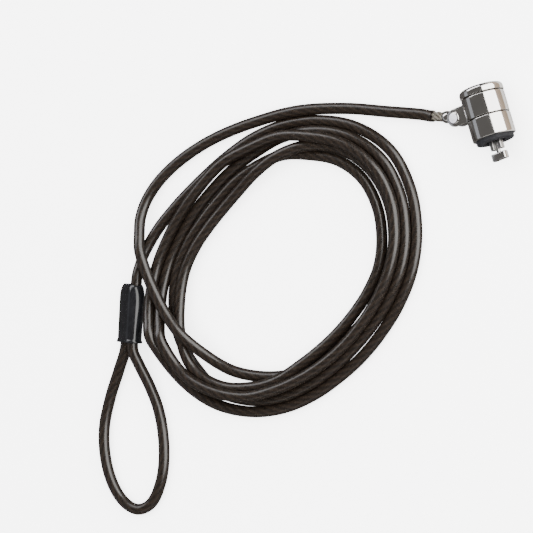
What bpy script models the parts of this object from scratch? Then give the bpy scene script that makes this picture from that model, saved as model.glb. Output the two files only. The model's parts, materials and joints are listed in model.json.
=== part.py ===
"""Laptop cable lock: a tubular-key lock head on a swivel collar, riveted to a coiled steel cable.

Metres, +Z up. The head and its cable lie on a surface at z = 0. The head's turning axis runs along Y,
with the key face at +Y and the T-bar at -Y, and the origin is under the middle of the head.
"""

from math import asin, cos, pi, radians, sin

import bmesh
import bpy
from mathutils import Matrix, Vector
from mathutils.geometry import interpolate_bezier

MM = 0.001

# Clearances
SEAM = 0.25 * MM
RUNNING = 0.08 * MM
SEATED = 0.05 * MM
MEETING = 0.3 * MM

# Tubular lock. The head is built outwards from its keyway.
KEYWAY_RADIUS = 4.65 * MM
KEYWAY_WIDTH = 2.1 * MM
KEYWAY_DEPTH = 5.0 * MM
NOTCH_WIDTH = 1.2 * MM
NOTCH_DEPTH = 0.9 * MM
SLEEVE_WALL = 0.9 * MM
ROTOR_FLANGE = 3.0 * MM
ROTOR_SHAFT_RADIUS = 1.5 * MM
ROTOR_SHAFT_PROUD = 1.0 * MM
POST_SUNK = 0.3 * MM
PIN_COUNT = 7
PIN_STATIONS = 8
PIN_RADIUS = 0.65 * MM
PIN_NOSE = 0.3 * MM
PIN_TRAVEL = 0.8 * MM
PIN_CUTS = (0.5, 1.1, 0.8, 0.4, 1.0, 0.7, 1.2)  # how far each key pin stands out of the plug, in mm
PIN_HOLE_FLOOR = 1.0 * MM
DRIVER_ROOM = 1.1 * MM
DRIVER_WALL = 0.17 * MM
DRIVER_CROWN = 0.9 * MM
SPRING_WIRE_RADIUS = 0.08 * MM
SPRING_TURNS = 5
SPRING_STEPS = 8
CROSS_PIN_RADIUS = 0.6 * MM
CROSS_PIN_DROP = 1.6 * MM
CROSS_PIN_BITE = 1.45 * MM
CORE_GAP = 0.9 * MM

# Lock head. Heights along the head's axis are measured from the barrel's lower rim.
NECK_WALL = 1.6 * MM
COLLAR_WALL = 1.22 * MM
BARREL_LENGTH = 8.2 * MM
COLLAR_LENGTH = 8.5 * MM
CAP_LENGTH = 3.2 * MM
CAP_PROUD = 0.15 * MM
CAP_ROUNDING = 1.6 * MM
CAP_WEB = 1.4 * MM
HEAD_ROLL = radians(14)
RIM_WALL = 1.0 * MM
RIM_ROUNDING = 0.5 * MM
EDGE = 0.2 * MM
PAD_RECESS = 1.0 * MM
FLOOR_THICKNESS = 2.0 * MM
PAD_PROUD = 1.7 * MM
PAD_CHAMFER = 0.55 * MM
PAD_HOLE_RADIUS = 4.0 * MM

# Fork ears on the collar, and the rivet through them
RIVET_OFFSET = 5.0 * MM  # from the collar's side to the rivet's axis
EAR_WIDTH = 6.9 * MM
EAR_THICKNESS = 1.0 * MM
EAR_ROOT_DEPTH = 0.8 * MM
FORK_GAP = 3.8 * MM
RIVET_SHANK_RADIUS = 1.2 * MM
RIVET_HEAD_RADIUS = 2.5 * MM
RIVET_HEAD_THICKNESS = 0.7 * MM

# Spindle, guide posts and T-bar
SPINDLE_RADIUS = 0.85 * MM
SPINDLE_HEAD_LENGTH = 1.3 * MM
TANG_WIDTH = 0.8 * MM
TANG_LENGTH = 1.2 * MM
JOIN = 0.3 * MM  # how far one solid runs into another that it is made in one with
GUIDE_FLANGE = 1.3 * MM
GUIDE_DEPTH = 2.5 * MM
HUB_PROUD = 0.4 * MM
POST_WIDTH = 2.5 * MM
POST_THICKNESS = 1.7 * MM
POST_ROUNDING = 0.6 * MM
POST_LENGTH = 3.1 * MM
POST_TO_T_BAR = 1.2 * MM
T_BAR_LENGTH = 6.7 * MM
T_BAR_WIDTH = 2.9 * MM
T_BAR_THICKNESS = 2.9 * MM

# Cable and its fittings
CABLE_RADIUS = 2.3 * MM
SHEATH_WALL = 0.3 * MM
CABLE_TO_EAR = radians(22.5)
EYE_RADIUS = 2.9 * MM
CRIMP_TO_EAR = 0.45 * MM
CRIMP_LENGTH = 2.7 * MM
CRIMP_RADIUS = 2.5 * MM
CRIMP_BULGE = 0.35 * MM
BARE_WIRE_LENGTH = 4.9 * MM
FERRULE_LENGTH = 19.0 * MM
FERRULE_WALL = 0.45 * MM
LEG_WEB = 0.6 * MM
COVER_LENGTH = 24.0 * MM
COVER_WALL = 0.75 * MM
COVER_LIP = 0.5 * MM

# The coil lies round this centre, inside the oval line that the lead and the tail follow where they pass
# closest to it. It is four strands wide and two high.
COIL_CENTRE = Vector((-99.0, -25.4, 0.0)) * MM
COIL_LINE_RADIUS = 61.3 * MM
COIL_GAP = 0.4 * MM
COIL_OVAL = 7.4 * MM
COIL_OVAL_ANGLE = radians(28)
COIL_STRANDS_WIDE = 4
COIL_STRANDS_HIGH = 2

# Route of the cable, from the head to the coil, and from the coil round the eye. Each point is X and Y in
# mm, and how far the cable is lifted off the surface there, in cable diameters.
LEAD_ROUTE = (
    (-24.5, 14.0, 0.02), (-37.5, 19.6, 0.0), (-54.0, 26.6, 0.0), (-73.2, 32.2, 0.0), (-94.0, 34.0, 0.0),
    (-111.0, 33.2, 0.0), (-125.6, 30.2, 0.0), (-137.6, 25.6, 0.09), (-146.4, 19.8, 0.59),
    (-151.8, 13.0, 1.28), (-154.4, 6.0, 1.65), (-155.2, -1.0, 1.7),
)
TAIL_ROUTE = (
    (-129.3, 19.9, 0.0), (-138.5, 14.8, 0.0), (-147.4, 9.4, 0.0), (-154.0, 3.4, 0.2),
    (-158.4, -3.2, 0.61),
)
SLEEVE_TOP = Vector((-164.0, -11.1, 0.0)) * MM
SLEEVE_HEADING = Vector((-0.361, -0.933, 0.0)).normalized()
SLEEVE_ROLL = radians(29)
EYE_ROUTE = (
    (-171.0, -43.0, 0.72), (-170.0, -52.0, 0.28), (-169.4, -62.0, 0.02), (-170.3, -72.5, 0.0),
    (-173.2, -83.5, 0.0), (-177.6, -92.0, 0.0), (-184.0, -98.4, 0.0), (-191.0, -98.9, 0.0),
    (-196.4, -93.4, 0.0), (-199.0, -84.0, 0.0), (-198.6, -73.0, 0.0), (-195.6, -62.5, 0.0),
    (-189.2, -51.6, 0.0), (-181.4, -41.9, 0.17),
)
CABLE_POINT_SPACING = 10.0 * MM
STRAIGHT_END = 1.5 * MM
LEG_STRAIGHT = 2.0 * MM

# Lines that follow from the sizes above
SLEEVE_RADIUS = KEYWAY_RADIUS + SLEEVE_WALL
CORE_BORE_RADIUS = SLEEVE_RADIUS + SEATED
NECK_RADIUS = CORE_BORE_RADIUS + NECK_WALL
HEAD_RADIUS = NECK_RADIUS + RUNNING + COLLAR_WALL
CAP_RADIUS = HEAD_RADIUS + CAP_PROUD
PIN_CIRCLE_RADIUS = KEYWAY_RADIUS - KEYWAY_WIDTH / 2
CENTRE_POST_RADIUS = KEYWAY_RADIUS - KEYWAY_WIDTH
COLLAR_FOOT = BARREL_LENGTH + SEAM
COLLAR_MIDDLE = COLLAR_FOOT + COLLAR_LENGTH / 2
COLLAR_TOP = COLLAR_FOOT + COLLAR_LENGTH
CAP_FOOT = COLLAR_TOP + SEAM
CAP_TOP = CAP_FOOT + CAP_LENGTH
NECK_TOP = CAP_TOP - CAP_WEB - SEATED
FLOOR_TOP = PAD_RECESS + FLOOR_THICKNESS
PAD_FACE = -PAD_PROUD
POST_END = PAD_FACE - POST_LENGTH
T_BAR_TOP = POST_END - POST_TO_T_BAR
T_BAR_FOOT = T_BAR_TOP - T_BAR_THICKNESS
GUIDE_FOOT = PAD_RECESS - HUB_PROUD
GUIDE_TOP = FLOOR_TOP + SEATED + GUIDE_FLANGE
SPINDLE_SEAT = GUIDE_TOP - GUIDE_DEPTH
ROTOR_FACE = CAP_TOP - KEYWAY_DEPTH
SHEAR_LINE = ROTOR_FACE - ROTOR_FLANGE
PIN_BLOCK_TOP = SHEAR_LINE - SEATED
PIN_BLOCK_FOOT = GUIDE_TOP + CORE_GAP
ROTOR_FOOT = PIN_BLOCK_FOOT - ROTOR_SHAFT_PROUD
CROSS_PIN_HEIGHT = PIN_BLOCK_TOP - CROSS_PIN_DROP
CROSS_PIN_INNER = PIN_CIRCLE_RADIUS - CROSS_PIN_BITE
PIN_HOLE_RADIUS = PIN_RADIUS + RUNNING
PIN_HOLE_FOOT = PIN_BLOCK_FOOT + PIN_HOLE_FLOOR
DRIVER_LENGTH = PIN_BLOCK_TOP - PIN_HOLE_FOOT - PIN_TRAVEL - DRIVER_ROOM
RIVET_REACH = HEAD_RADIUS + RIVET_OFFSET
FORK_HALF = FORK_GAP / 2 + EAR_THICKNESS
EAR_RADIUS = EAR_WIDTH / 2
BARE_WIRE_RADIUS = CABLE_RADIUS - SHEATH_WALL
CRIMP_START = EAR_RADIUS + CRIMP_TO_EAR
CRIMP_END = CRIMP_START + CRIMP_LENGTH
WIRE_START = CRIMP_END + SEATED
WIRE_END = WIRE_START + BARE_WIRE_LENGTH
SHEATH_START = WIRE_END + MEETING
LEG_BORE_RADIUS = CABLE_RADIUS + SEATED
LEG_SPACING = 2 * LEG_BORE_RADIUS + LEG_WEB
FERRULE_RADIUS = LEG_BORE_RADIUS + FERRULE_WALL
COVER_BORE_RADIUS = FERRULE_RADIUS + SEATED
COVER_RADIUS = COVER_BORE_RADIUS + COVER_WALL
SLEEVE_AXIS_HEIGHT = COVER_RADIUS + COVER_LIP + LEG_SPACING / 2 * sin(SLEEVE_ROLL)
COIL_OUTER_RADIUS = COIL_LINE_RADIUS - CABLE_RADIUS - COIL_GAP

EAR_EXTENT = (RIVET_REACH + EAR_RADIUS) * cos(HEAD_ROLL) + FORK_HALF * sin(HEAD_ROLL)
HEAD_ORIGIN = Vector(((EAR_EXTENT - CAP_RADIUS) / 2, -(CAP_TOP + T_BAR_FOOT) / 2, CAP_RADIUS))

# How finely round shapes are divided, and how far a cutter runs past what it cuts
RING_STEPS = 48
CORE_STEPS = 32
FITTING_STEPS = 24
SPINDLE_STEPS = 20
CROSS_PIN_STEPS = 16
PIN_STEPS = 12
COIL_STEPS = 60
STADIUM_STEPS = 10
OVERCUT = 1.0 * MM


def clear_scene():
    for thing in list(bpy.data.objects):
        bpy.data.objects.remove(thing, do_unlink=True)


def new_collection(name):
    group = bpy.data.collections.new(name)
    bpy.context.scene.collection.children.link(group)
    return group


clear_scene()
PARTS = new_collection("cable_lock")
TOOLS = new_collection("cutters_and_guides")


def finish(name, colour, roughness, metallic=0.0):
    material = bpy.data.materials.new(name)
    material.use_nodes = True
    shader = material.node_tree.nodes["Principled BSDF"]
    shader.inputs["Base Color"].default_value = (*colour, 1.0)
    shader.inputs["Roughness"].default_value = roughness
    shader.inputs["Metallic"].default_value = metallic
    return material


NICKEL = finish("polished_nickel", (0.66, 0.64, 0.62), 0.14, 1.0)
STEEL = finish("turned_steel", (0.55, 0.55, 0.56), 0.28, 1.0)
BRASS = finish("turned_brass", (0.72, 0.55, 0.26), 0.3, 1.0)
WIRE = finish("galvanised_wire", (0.58, 0.57, 0.56), 0.35, 1.0)
ALUMINIUM = finish("pressed_aluminium", (0.75, 0.75, 0.76), 0.4, 1.0)
RUBBER = finish("black_rubber", (0.03, 0.03, 0.035), 0.6)
SHEATH = finish("smoked_vinyl", (0.035, 0.027, 0.024), 0.25)
GLOSS_BLACK = finish("gloss_black_plastic", (0.012, 0.012, 0.014), 0.18)


def add_empty(name, matrix, parent=None):
    empty = bpy.data.objects.new(name, None)
    TOOLS.objects.link(empty)
    empty.parent = parent
    empty.matrix_local = matrix
    bpy.context.view_layer.update()
    return empty


# The head's axis points along the empty's Z, and its X lies in the plane of the ears and the T-bar.
HEAD_AXES = Matrix((
    (cos(HEAD_ROLL), sin(HEAD_ROLL), 0.0),
    (0.0, 0.0, 1.0),
    (sin(HEAD_ROLL), -cos(HEAD_ROLL), 0.0),
))
HEAD = add_empty("head_axis", Matrix.Translation(HEAD_ORIGIN) @ HEAD_AXES.to_4x4())
# The rivet's axis is the empty's Z, and the empty's X points along the cable's end.
RIVET_AXES = Matrix((
    (-cos(CABLE_TO_EAR), sin(CABLE_TO_EAR), 0.0),
    (0.0, 0.0, 1.0),
    (sin(CABLE_TO_EAR), cos(CABLE_TO_EAR), 0.0),
))
FORK = add_empty(
    "rivet_axis",
    Matrix.Translation((-RIVET_REACH, 0.0, COLLAR_MIDDLE)) @ RIVET_AXES.to_4x4(),
    HEAD,
)


def place(thing, group, parent, location, rotation=(0.0, 0.0, 0.0)):
    group.objects.link(thing)
    thing.parent = parent
    thing.location = location
    thing.rotation_euler = rotation
    return thing


def as_part(name, mesh, material, parent=None, location=(0.0, 0.0, 0.0), rotation=(0.0, 0.0, 0.0)):
    thing = place(bpy.data.objects.new(name, mesh), PARTS, parent, location, rotation)
    if not mesh.materials:
        mesh.materials.append(material)
    for polygon in mesh.polygons:
        polygon.use_smooth = True
    if mesh.polygons:
        mesh.set_sharp_from_angle(angle=radians(30))
    return thing


def as_tool(name, mesh, parent=None, location=(0.0, 0.0, 0.0), rotation=(0.0, 0.0, 0.0)):
    thing = place(bpy.data.objects.new(name, mesh), TOOLS, parent, location, rotation)
    thing.hide_render = True
    thing.display_type = "WIRE"
    return thing


def boolean(target, cutter, operation="DIFFERENCE"):
    modifier = target.modifiers.new(f"{operation.lower()}_{cutter.name}", "BOOLEAN")
    modifier.operation = operation
    modifier.object = cutter


def profile_mesh(name, points, closed):
    """Points (radius, height) of a section, at +X: the outer side runs from top to bottom."""
    mesh = bpy.data.meshes.new(name)
    edges = [(i, i + 1) for i in range(len(points) - 1)]
    if closed:
        edges.append((len(points) - 1, 0))
    mesh.from_pydata([(r, 0.0, z) for r, z in points], edges, [])
    return mesh


def screw(thing, steps):
    modifier = thing.modifiers.new("turn", "SCREW")
    modifier.steps = steps
    modifier.render_steps = steps
    modifier.use_merge_vertices = True
    modifier.merge_threshold = 0.00001
    modifier.use_smooth_shade = True


def turned(name, points, material, parent, steps=RING_STEPS, closed=True, **where):
    thing = as_part(name, profile_mesh(name, points, closed), material, parent, **where)
    screw(thing, steps)
    return thing


def arc(centre, radius, start, end, count):
    """Points (radius, height) on an arc, the angles in degrees from the outward direction."""
    return [
        (
            centre[0] + radius * cos(radians(start + (end - start) * i / count)),
            centre[1] + radius * sin(radians(start + (end - start) * i / count)),
        )
        for i in range(count + 1)
    ]


def cylinder_mesh(name, radius, low, high, steps):
    shape = bmesh.new()
    bmesh.ops.create_cone(
        shape, cap_ends=True, segments=steps, radius1=radius, radius2=radius, depth=high - low,
        matrix=Matrix.Translation((0.0, 0.0, (low + high) / 2)),
    )
    return to_mesh(name, shape)


def box_mesh(name, low, high, rounding=0.0):
    """A box between two corners, with its upright edges rounded."""
    shape = bmesh.new()
    size = [b - a for a, b in zip(low, high)]
    middle = [(a + b) / 2 for a, b in zip(low, high)]
    bmesh.ops.create_cube(shape, size=1.0, matrix=Matrix.Translation(middle) @ Matrix.Diagonal((*size, 1.0)))
    if rounding:
        upright = [e for e in shape.edges if abs(e.verts[0].co.z - e.verts[1].co.z) > size[2] / 2]
        bmesh.ops.bevel(shape, geom=upright, offset=rounding, segments=3, profile=0.5, affect="EDGES")
    return to_mesh(name, shape)


def to_mesh(name, shape):
    mesh = bpy.data.meshes.new(name)
    shape.to_mesh(mesh)
    shape.free()
    return mesh


def plate_mesh(name, outlines, thickness):
    """A flat plate in the XY plane from closed outlines of (x, y) points: the first one, less the others."""
    curve = bpy.data.curves.new(name, "CURVE")
    curve.dimensions = "2D"
    curve.fill_mode = "BOTH"
    curve.extrude = thickness / 2
    for outline in outlines:
        spline = curve.splines.new("POLY")
        spline.points.add(len(outline) - 1)
        for point, (x, y) in zip(spline.points, outline):
            point.co = (x, y, 0.0, 1.0)
        spline.use_cyclic_u = True
    return curve_to_mesh(name, curve)


def curve_to_mesh(name, curve):
    guide = bpy.data.objects.new(f"{name}_outline", curve)
    TOOLS.objects.link(guide)
    bpy.context.view_layer.update()
    evaluated = guide.evaluated_get(bpy.context.evaluated_depsgraph_get())
    mesh = bpy.data.meshes.new_from_object(evaluated)
    bpy.data.objects.remove(guide, do_unlink=True)
    shape = bmesh.new()
    shape.from_mesh(mesh)
    bmesh.ops.remove_doubles(shape, verts=shape.verts, dist=0.000001)
    bmesh.ops.recalc_face_normals(shape, faces=shape.faces)
    shape.to_mesh(mesh)
    shape.free()
    mesh.name = name
    mesh.materials.clear()
    return mesh


def circle(radius, steps, centre=(0.0, 0.0)):
    turns = [2 * pi * i / steps for i in range(steps)]
    return [(centre[0] + radius * cos(a), centre[1] + radius * sin(a)) for a in turns]


def pin_angle(index):
    """Station 0 of the pin circle is left free for the cross pin."""
    return 2 * pi * (index + 1) / PIN_STATIONS


def pin_place(index, height=0.0):
    angle = pin_angle(index)
    return (PIN_CIRCLE_RADIUS * cos(angle), PIN_CIRCLE_RADIUS * sin(angle), height)


def drill_pin_holes(target, low, high):
    """Each hole is turned by a quarter of a step, so that its corners lie on no edge of the target."""
    quarter_step = (0.0, 0.0, pi / 2 / PIN_STEPS)
    for index in range(PIN_COUNT):
        mesh = cylinder_mesh("pin_hole", PIN_HOLE_RADIUS, low, high, PIN_STEPS)
        hole = as_tool(f"{target.name}_hole_{index + 1}", mesh, HEAD, pin_place(index), quarter_step)
        boolean(target, hole)


def cross_pin_hole(target, clearance):
    radius = CROSS_PIN_RADIUS + clearance
    mesh = cylinder_mesh("cross_hole", radius, CROSS_PIN_INNER, HEAD_RADIUS, CROSS_PIN_STEPS)
    hole = as_tool(f"{target.name}_cross_hole", mesh, HEAD, (0.0, 0.0, CROSS_PIN_HEIGHT), (0.0, pi / 2, 0.0))
    boolean(target, hole)


def lower_barrel():
    rim = HEAD_RADIUS - RIM_WALL
    points = [(NECK_RADIUS, NECK_TOP), (NECK_RADIUS, BARREL_LENGTH), (HEAD_RADIUS, BARREL_LENGTH)]
    points += arc((HEAD_RADIUS - RIM_ROUNDING, RIM_ROUNDING), RIM_ROUNDING, 0, -90, 3)
    points += [
        (rim, 0.0), (rim, PAD_RECESS), (PAD_HOLE_RADIUS + SEATED, PAD_RECESS),
        (PAD_HOLE_RADIUS + SEATED, FLOOR_TOP), (CORE_BORE_RADIUS, FLOOR_TOP), (CORE_BORE_RADIUS, NECK_TOP),
    ]
    barrel = turned("lower_barrel", points, NICKEL, HEAD)
    cross_pin_hole(barrel, SEATED)


def ear_outline():
    """A round tip about the rivet, and straight sides that run into the collar's ring."""
    root = RIVET_REACH - HEAD_RADIUS + EAR_ROOT_DEPTH
    tip = [
        (-EAR_RADIUS * cos(radians(a)), EAR_RADIUS * sin(radians(a)))
        for a in range(-90, 91, 10)
    ]
    return tip + [(root, EAR_RADIUS), (root, -EAR_RADIUS)]


def swivel_collar():
    inner = NECK_RADIUS + RUNNING
    points = [
        (inner, COLLAR_TOP), (HEAD_RADIUS - EDGE, COLLAR_TOP), (HEAD_RADIUS, COLLAR_TOP - EDGE),
        (HEAD_RADIUS, COLLAR_FOOT + EDGE), (HEAD_RADIUS - EDGE, COLLAR_FOOT), (inner, COLLAR_FOOT),
    ]
    collar = turned("swivel_collar", points, NICKEL, HEAD)
    hole = circle(RIVET_SHANK_RADIUS + SEATED, 20)
    for side, label in ((-1, "upper"), (1, "lower")):
        mesh = plate_mesh("ear", [ear_outline(), hole], EAR_THICKNESS)
        offset = side * (FORK_GAP + EAR_THICKNESS) / 2
        ear = as_tool(f"{label}_ear", mesh, HEAD, (-RIVET_REACH, offset, COLLAR_MIDDLE), (pi / 2, 0.0, 0.0))
        boolean(collar, ear, "UNION")


def cap_ring():
    bore = NECK_RADIUS + SEATED
    points = [(KEYWAY_RADIUS, CAP_TOP)]
    points += arc((CAP_RADIUS - CAP_ROUNDING, CAP_TOP - CAP_ROUNDING), CAP_ROUNDING, 90, 0, 5)
    points += [
        (CAP_RADIUS, CAP_FOOT), (bore, CAP_FOOT),
        (bore, CAP_TOP - CAP_WEB), (KEYWAY_RADIUS, CAP_TOP - CAP_WEB),
    ]
    cap = turned("cap_ring", points, NICKEL, HEAD)
    half = NOTCH_WIDTH / 2
    corner = (KEYWAY_RADIUS + NOTCH_DEPTH, half, CAP_TOP + OVERCUT)
    notch = box_mesh("key_notch", (CENTRE_POST_RADIUS, -half, NECK_TOP), corner)
    boolean(cap, as_tool("key_notch", notch, HEAD))


def lock_sleeve():
    points = [
        (KEYWAY_RADIUS, NECK_TOP), (SLEEVE_RADIUS, NECK_TOP),
        (SLEEVE_RADIUS, PIN_BLOCK_FOOT), (KEYWAY_RADIUS, PIN_BLOCK_FOOT),
    ]
    sleeve = turned("lock_sleeve", points, STEEL, HEAD, CORE_STEPS)
    cross_pin_hole(sleeve, SEATED)


def plug_rotor():
    """The flange that carries the key pins, with the centre post above it and the driving shaft below."""
    flange = KEYWAY_RADIUS - RUNNING
    post_top = CAP_TOP - POST_SUNK
    points = [
        (0.0, post_top), (CENTRE_POST_RADIUS - EDGE, post_top), (CENTRE_POST_RADIUS, post_top - EDGE),
        (CENTRE_POST_RADIUS, ROTOR_FACE), (flange, ROTOR_FACE), (flange, SHEAR_LINE),
        (ROTOR_SHAFT_RADIUS, SHEAR_LINE), (ROTOR_SHAFT_RADIUS, ROTOR_FOOT), (0.0, ROTOR_FOOT),
    ]
    rotor = turned("plug_rotor", points, STEEL, HEAD, CORE_STEPS, closed=False)
    drill_pin_holes(rotor, SHEAR_LINE - OVERCUT, ROTOR_FACE + OVERCUT)
    half = TANG_WIDTH / 2 + SEATED
    reach = ROTOR_SHAFT_RADIUS + OVERCUT
    slot = box_mesh(
        "drive_slot", (-reach, -half, ROTOR_FOOT - OVERCUT), (reach, half, ROTOR_FOOT + TANG_LENGTH + SEATED)
    )
    boolean(rotor, as_tool("drive_slot", slot, HEAD))


def pin_block():
    bore = ROTOR_SHAFT_RADIUS + RUNNING
    outer = KEYWAY_RADIUS - SEATED
    points = [(bore, PIN_BLOCK_TOP), (outer, PIN_BLOCK_TOP), (outer, PIN_BLOCK_FOOT), (bore, PIN_BLOCK_FOOT)]
    block = turned("pin_block", points, BRASS, HEAD, CORE_STEPS)
    drill_pin_holes(block, PIN_HOLE_FOOT, PIN_BLOCK_TOP + OVERCUT)
    cross_pin_hole(block, SEATED)


def pin_stacks():
    """Seven stacks: a round-nosed key pin in the plug, a hollow driver pin behind it, and its spring."""
    key_foot = SHEAR_LINE + SEATED / 2
    driver_top = PIN_BLOCK_TOP - SEATED / 2
    driver_foot = driver_top - DRIVER_LENGTH
    hollow = PIN_RADIUS - DRIVER_WALL
    hollow_top = driver_top - DRIVER_CROWN
    spring_foot = PIN_HOLE_FOOT + SEATED
    spring_top = hollow_top - PIN_TRAVEL - SEATED
    driver = profile_mesh("driver_pin", [
        (0.0, driver_top), (PIN_RADIUS, driver_top), (PIN_RADIUS, driver_foot), (hollow, driver_foot),
        (hollow, hollow_top), (0.0, hollow_top),
    ], False)
    spring = spring_mesh(hollow - RUNNING - SPRING_WIRE_RADIUS, spring_foot, spring_top)
    for index, cut in enumerate(PIN_CUTS):
        number = index + 1
        top = ROTOR_FACE + cut * MM
        pin = profile_mesh("key_pin", [
            (0.0, top), (PIN_RADIUS - PIN_NOSE, top), (PIN_RADIUS, top - PIN_NOSE), (PIN_RADIUS, key_foot),
            (0.0, key_foot),
        ], False)
        screw(as_part(f"key_pin_{number}", pin, BRASS, HEAD, pin_place(index)), PIN_STEPS)
        screw(as_part(f"driver_pin_{number}", driver, STEEL, HEAD, pin_place(index)), PIN_STEPS)
        as_part(f"pin_spring_{number}", spring, WIRE, HEAD, pin_place(index))


def tube_curve(name, points, radius, resolution):
    curve = bpy.data.curves.new(name, "CURVE")
    curve.dimensions = "3D"
    curve.bevel_depth = radius
    curve.bevel_resolution = resolution
    curve.use_fill_caps = True
    spline = curve.splines.new("POLY")
    spline.points.add(len(points) - 1)
    for point, at in zip(spline.points, points):
        point.co = (*at, 1.0)
    return curve


def spring_mesh(radius, low, high):
    steps = SPRING_TURNS * SPRING_STEPS
    low += SPRING_WIRE_RADIUS
    high -= SPRING_WIRE_RADIUS
    points = [
        (
            radius * cos(2 * pi * i / SPRING_STEPS),
            radius * sin(2 * pi * i / SPRING_STEPS),
            low + (high - low) * i / steps,
        )
        for i in range(steps + 1)
    ]
    return curve_to_mesh("pin_spring", tube_curve("pin_spring", points, SPRING_WIRE_RADIUS, 1))


def cross_pin():
    """A pin through the barrel's neck, the sleeve and the pin block, at the station left free of key pins."""
    mesh = cylinder_mesh(
        "cross_pin", CROSS_PIN_RADIUS, CROSS_PIN_INNER + RUNNING, NECK_RADIUS - RUNNING, CROSS_PIN_STEPS
    )
    as_part("cross_pin", mesh, STEEL, HEAD, (0.0, 0.0, CROSS_PIN_HEIGHT), (0.0, pi / 2, 0.0))


def guide_block():
    """A flanged hub in the barrel's floor, with the two posts that fill the laptop's slot."""
    flange = CORE_BORE_RADIUS - SEATED
    seat = ROTOR_SHAFT_RADIUS + RUNNING
    bore = SPINDLE_RADIUS + RUNNING
    ledge = FLOOR_TOP + SEATED
    points = [
        (seat, GUIDE_TOP), (flange, GUIDE_TOP), (flange, ledge), (PAD_HOLE_RADIUS, ledge),
        (PAD_HOLE_RADIUS, GUIDE_FOOT), (bore, GUIDE_FOOT), (bore, SPINDLE_SEAT), (seat, SPINDLE_SEAT),
    ]
    block = turned("guide_block", points, STEEL, HEAD, CORE_STEPS)
    for side, label in ((-1, "left"), (1, "right")):
        near, far = sorted((side * bore, side * (bore + POST_THICKNESS)))
        mesh = box_mesh(
            "post", (near, -POST_WIDTH / 2, POST_END), (far, POST_WIDTH / 2, GUIDE_FOOT + JOIN), POST_ROUNDING
        )
        boolean(block, as_tool(f"{label}_post", mesh, HEAD), "UNION")


def spindle():
    """A shaft between the posts, with a head seated in the hub and a tang that the plug turns."""
    head_foot = SPINDLE_SEAT + SEATED
    head_top = head_foot + SPINDLE_HEAD_LENGTH
    end = T_BAR_FOOT + SEATED
    points = [
        (0.0, head_top), (ROTOR_SHAFT_RADIUS, head_top), (ROTOR_SHAFT_RADIUS, head_foot),
        (SPINDLE_RADIUS, head_foot), (SPINDLE_RADIUS, end), (0.0, end),
    ]
    shaft = turned("spindle", points, STEEL, HEAD, SPINDLE_STEPS, closed=False)
    half = ROTOR_SHAFT_RADIUS - JOIN
    tang = box_mesh(
        "tang", (-half, -TANG_WIDTH / 2, head_top - JOIN), (half, TANG_WIDTH / 2, ROTOR_FOOT + TANG_LENGTH)
    )
    boolean(shaft, as_tool("tang", tang, HEAD), "UNION")


def t_bar():
    """A flat bar with round ends that turn inside the circle of its length."""
    radius = T_BAR_LENGTH / 2
    half_angle = asin(T_BAR_WIDTH / 2 / radius)
    outline = []
    for facing in (0.0, pi):
        outline += [
            (radius * cos(facing + a), radius * sin(facing + a))
            for a in (half_angle * (i / 3 - 1) for i in range(7))
        ]
    mesh = plate_mesh("t_bar", [outline, circle(SPINDLE_RADIUS + SEATED, SPINDLE_STEPS)], T_BAR_THICKNESS)
    as_part("t_bar", mesh, NICKEL, HEAD, (0.0, 0.0, (T_BAR_TOP + T_BAR_FOOT) / 2))


def face_pad():
    outer = HEAD_RADIUS - RIM_WALL - SEATED
    points = [
        (PAD_HOLE_RADIUS, PAD_RECESS - SEATED), (outer, PAD_RECESS - SEATED), (outer, PAD_FACE + PAD_CHAMFER),
        (outer - PAD_CHAMFER, PAD_FACE), (PAD_HOLE_RADIUS, PAD_FACE),
    ]
    turned("face_pad", points, RUBBER, HEAD)


def rivet():
    under = FORK_HALF + SEATED
    top = under + RIVET_HEAD_THICKNESS
    upper = [
        (0.0, top), (RIVET_HEAD_RADIUS - EDGE, top), (RIVET_HEAD_RADIUS, top - EDGE),
        (RIVET_HEAD_RADIUS, under), (RIVET_SHANK_RADIUS, under),
    ]
    lower = [(r, -z) for r, z in reversed(upper)]
    turned("rivet", upper + lower, NICKEL, FORK, FITTING_STEPS, closed=False)


def end_fitting():
    """A die-cast eye between the ears, swelling into the crimp that grips the wire rope."""
    half = FORK_GAP / 2 - 2 * SEATED
    fitting = as_part("end_fitting", cylinder_mesh("eye", EYE_RADIUS, -half, half, 32), NICKEL, FORK)
    neck = half - SEATED
    root = RIVET_SHANK_RADIUS + RUNNING + JOIN
    bulge = [
        (CRIMP_RADIUS - CRIMP_BULGE * (i / 3 - 1) ** 2, CRIMP_END - CRIMP_LENGTH * i / 6)
        for i in range(7)
    ]
    points = [(0.0, CRIMP_END), *bulge, (neck, CRIMP_START - EDGE), (neck, root), (0.0, root)]
    crimp = as_tool("crimp", profile_mesh("crimp", points, False), FORK, rotation=(0.0, pi / 2, 0.0))
    screw(crimp, FITTING_STEPS)
    boolean(fitting, crimp, "UNION")
    hole = cylinder_mesh("rivet_hole", RIVET_SHANK_RADIUS + RUNNING, -FORK_GAP, FORK_GAP, FITTING_STEPS)
    boolean(fitting, as_tool("rivet_hole", hole, FORK))


def bare_wire():
    mesh = cylinder_mesh("bare_wire", BARE_WIRE_RADIUS, WIRE_START, WIRE_END, FITTING_STEPS)
    as_part("bare_wire", mesh, WIRE, FORK, rotation=(0.0, pi / 2, 0.0))


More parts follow.
